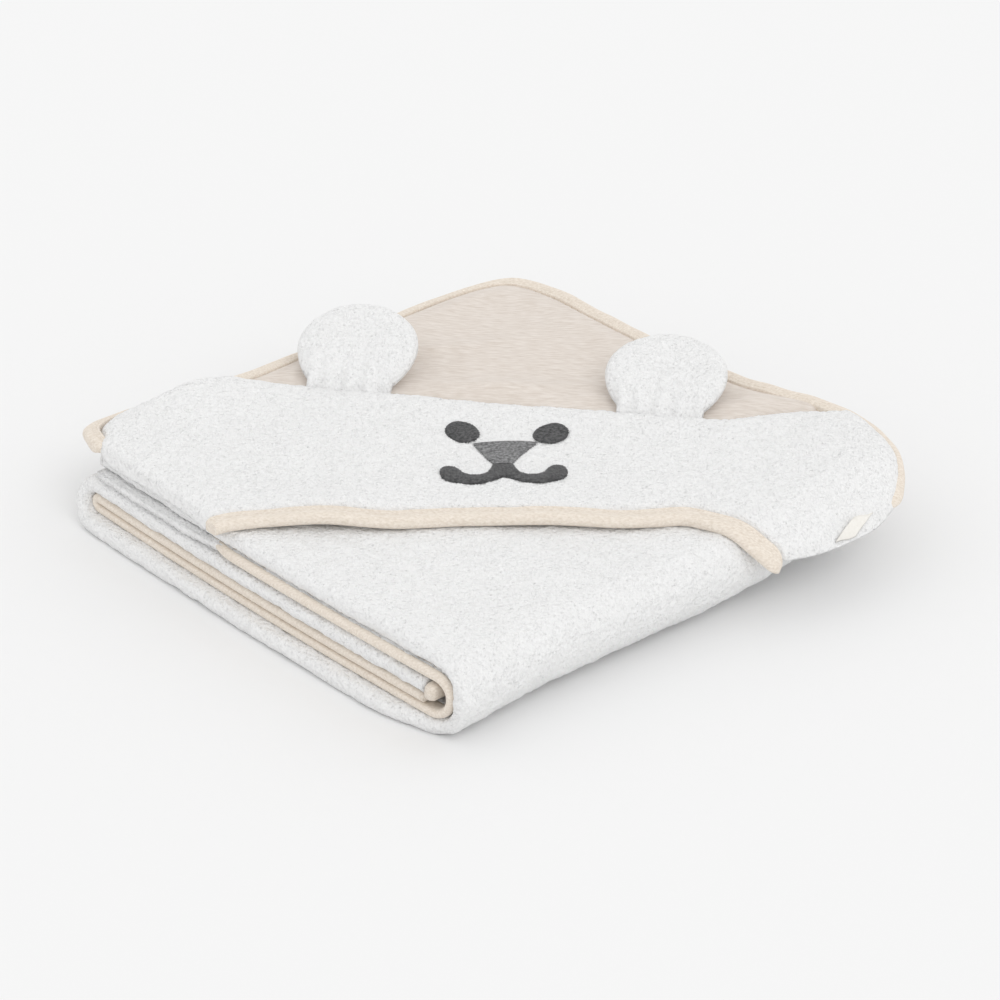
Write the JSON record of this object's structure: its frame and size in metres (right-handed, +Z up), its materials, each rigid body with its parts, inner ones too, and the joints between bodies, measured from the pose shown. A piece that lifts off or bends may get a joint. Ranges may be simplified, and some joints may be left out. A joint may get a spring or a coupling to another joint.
{
  "type": "hooded baby towel",
  "caption": "Hooded baby towel folded into a square packet, its bear-eared hood lying on top with a brim that lifts and two ears that tip.",
  "frame": {"origin": "centre of the bounding box at its bottom, on the surface the towel lies on", "axes": "+Z up, through the stack of folded layers; +Y towards the tip of the hood; +X towards the right side corner as seen from the face side"},
  "size_m": [0.4787, 0.466, 0.0856],
  "materials": {
    "terry_white": "looped cotton terry",
    "tape_cream": "heathered cotton jersey tape, topstitched",
    "jersey_oatmeal": "heathered cotton jersey",
    "charcoal_thread": "satin-stitch embroidery",
    "grey_thread": "satin-stitch embroidery",
    "label_cream": "woven tape"
  },
  "bodies": {
    "towel": {"towel_body": "terry_white", "towel_inner_ply": "terry_white", "body_edge_binding": "tape_cream", "body_end_binding": "tape_cream", "hood_crown": "jersey_oatmeal", "hood_perimeter_binding": "tape_cream", "hood_face_left": "terry_white", "hood_face_right": "terry_white", "hem_binding_left": "tape_cream", "hem_binding_right": "tape_cream", "side_label": "label_cream"},
    "brim": {"hood_face_centre": "terry_white", "hem_binding_centre": "tape_cream", "eye_left": "charcoal_thread", "eye_right": "charcoal_thread", "nose": "grey_thread", "mouth": "charcoal_thread"},
    "ear_left": {"ear_left_front": "terry_white", "ear_left_back": "terry_white"},
    "ear_right": {"ear_right_front": "terry_white", "ear_right_back": "terry_white"}
  },
  "joints": [
    {"name": "brim_lift", "type": "hinge", "parent": "towel", "child": "brim", "pos_m": [0.00374, 0.06162, 0.0541], "axis": [-0.9965, 0.0837, 0], "range_deg": [0, 24]},
    {"name": "ear_left_flop", "type": "hinge", "parent": "towel", "child": "ear_left", "pos_m": [-0.08544, 0.06911, 0.0628], "axis": [0.9965, -0.0837, 0], "range_deg": [0, 110]},
    {"name": "ear_right_flop", "type": "hinge", "parent": "towel", "child": "ear_right", "pos_m": [0.0999, 0.05355, 0.0628], "axis": [0.9965, -0.0837, 0], "range_deg": [0, 115]}
  ]
}
